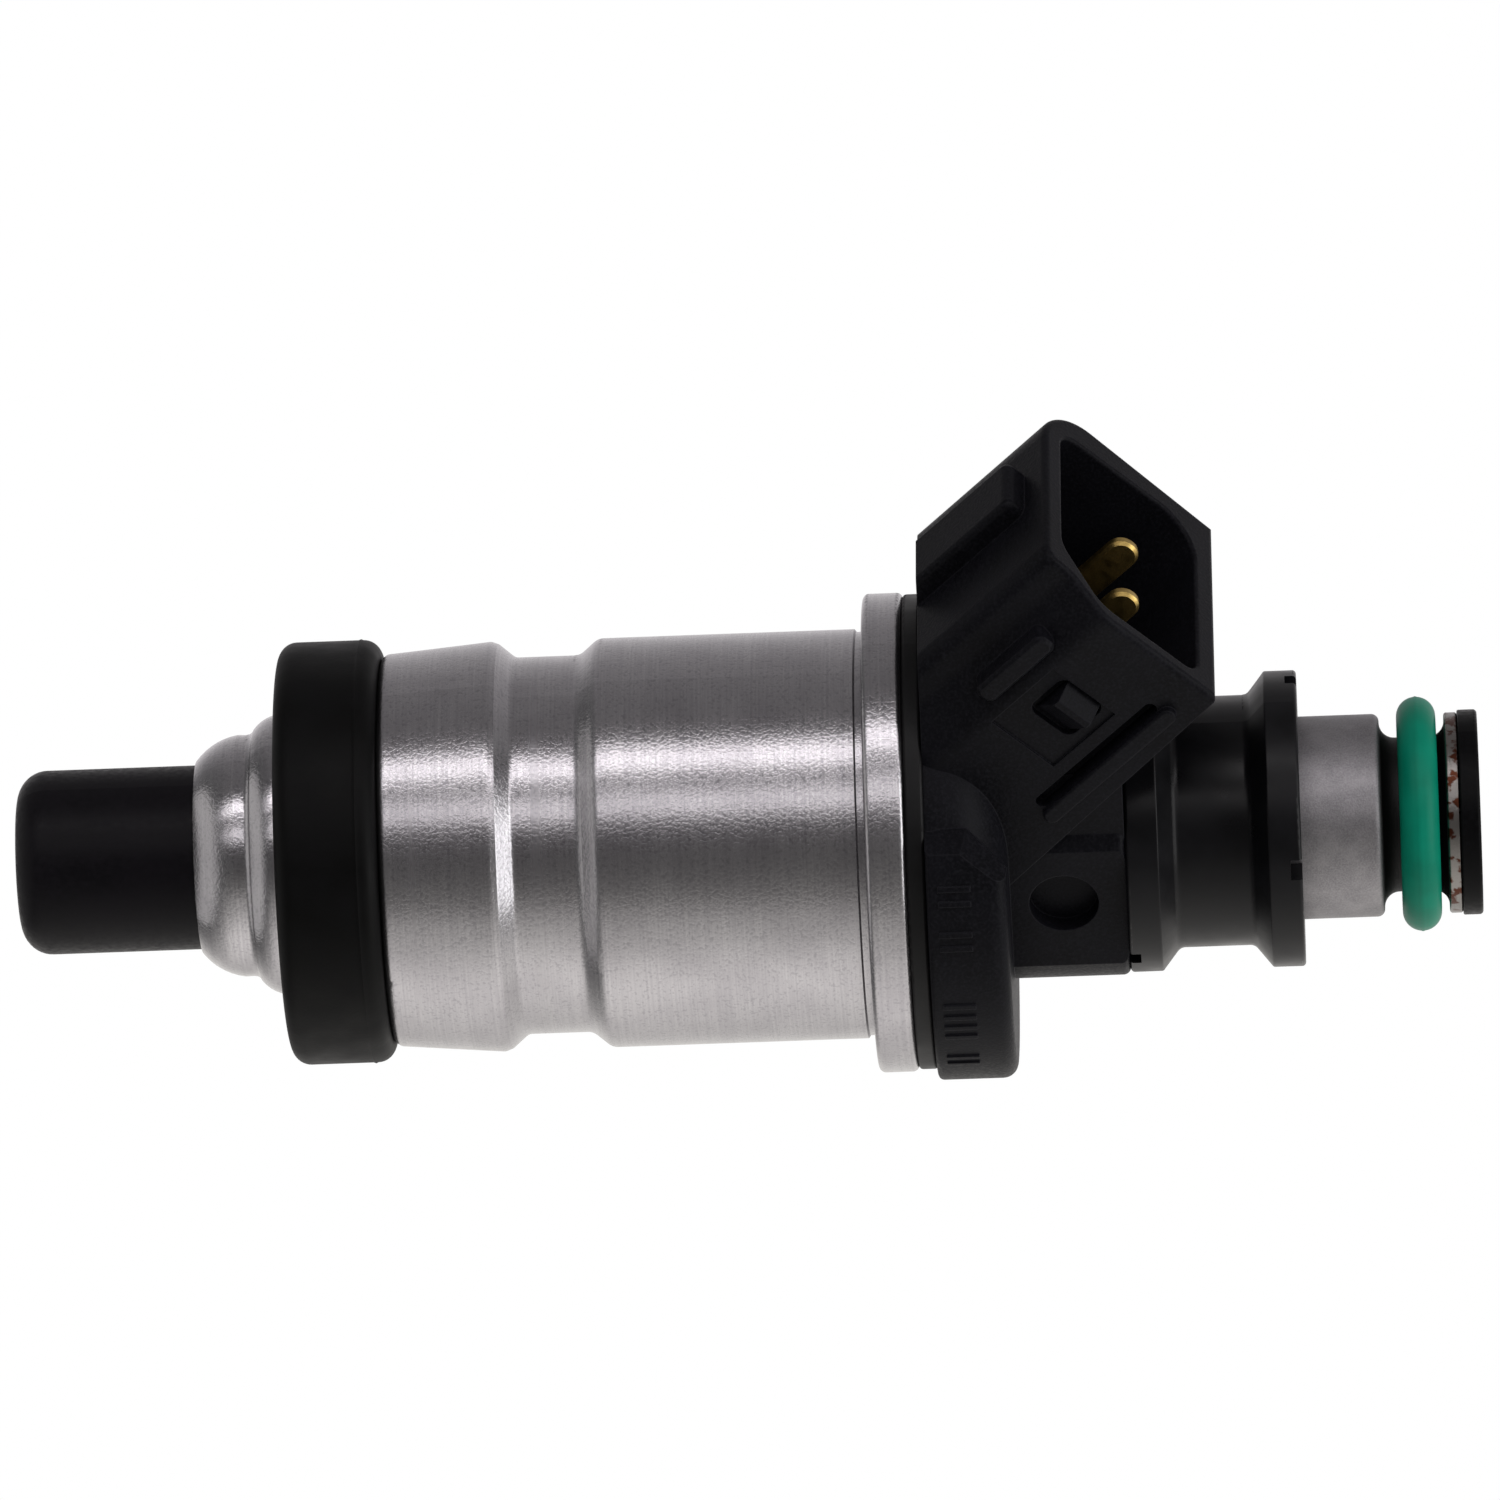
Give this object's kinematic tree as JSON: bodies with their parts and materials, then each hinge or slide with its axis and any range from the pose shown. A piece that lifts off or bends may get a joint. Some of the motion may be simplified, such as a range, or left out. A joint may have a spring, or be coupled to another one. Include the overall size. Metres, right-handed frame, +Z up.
{
  "type": "fuel injector",
  "caption": "Top-feed port fuel injector: stepped steel casing, rubber manifold seal, slanted black electrical socket, sealed fuel inlet and a sprung needle valve inside.",
  "frame": {"origin": "on the injector's axis at mid-height of the lower (manifold) seal ring", "axes": "+Z up the injector's axis towards the fuel inlet, +X towards the side the electrical socket leans to, XZ the plane that the socket leans in"},
  "size_m": [0.0352, 0.0262, 0.0769],
  "materials": {
    "cap_plastic": "satin",
    "hardened_steel": "ground",
    "housing_steel": "fine turned",
    "soft_iron": "machined",
    "spring_steel": "drawn wire",
    "core_steel": "bead blasted",
    "seal_rubber": "matte",
    "dust_rubber": "matte",
    "cushion_rubber": "satin",
    "green_rubber": "satin",
    "internal_rubber": "satin",
    "bobbin_plastic": "moulded",
    "copper_winding": "enamelled",
    "terminal_brass": "stamped",
    "connector_plastic": "fine eroded texture",
    "washer_plastic": "smooth",
    "filter_brass": "turned",
    "filter_plastic": "moulded",
    "filter_mesh": "woven"
  },
  "bodies": {
    "injector_body": {"pintle_cap": "cap_plastic", "nozzle_body": "hardened_steel", "nozzle_body_o_ring": "internal_rubber", "stop_plate": "hardened_steel", "return_spring": "spring_steel", "solenoid_housing": "housing_steel", "manifold_seal_ring": "seal_rubber", "dust_seal_ring": "dust_rubber", "core_tube": "core_steel", "yoke_plate": "soft_iron", "coil_bobbin": "bobbin_plastic", "bobbin_lower_o_ring": "internal_rubber", "bobbin_upper_o_ring": "internal_rubber", "coil_winding": "copper_winding", "spring_adjuster": "spring_steel", "terminal_left": "terminal_brass", "terminal_right": "terminal_brass", "connector_overmould": "connector_plastic", "cushion_ring": "cushion_rubber", "inlet_o_ring": "green_rubber", "inlet_end_washer": "washer_plastic", "filter_collar": "filter_brass", "filter_frame": "filter_plastic", "filter_screen": "filter_mesh"},
    "valve": {"needle": "hardened_steel", "armature": "soft_iron"}
  },
  "joints": [
    {"name": "needle_lift", "type": "slide", "parent": "injector_body", "child": "valve", "axis": [0, 0, 1], "range_m": [0, 0.00015], "stiffness_N_per_m": 2000, "springref_m": -0.0015, "deforming": ["return_spring"]}
  ]
}
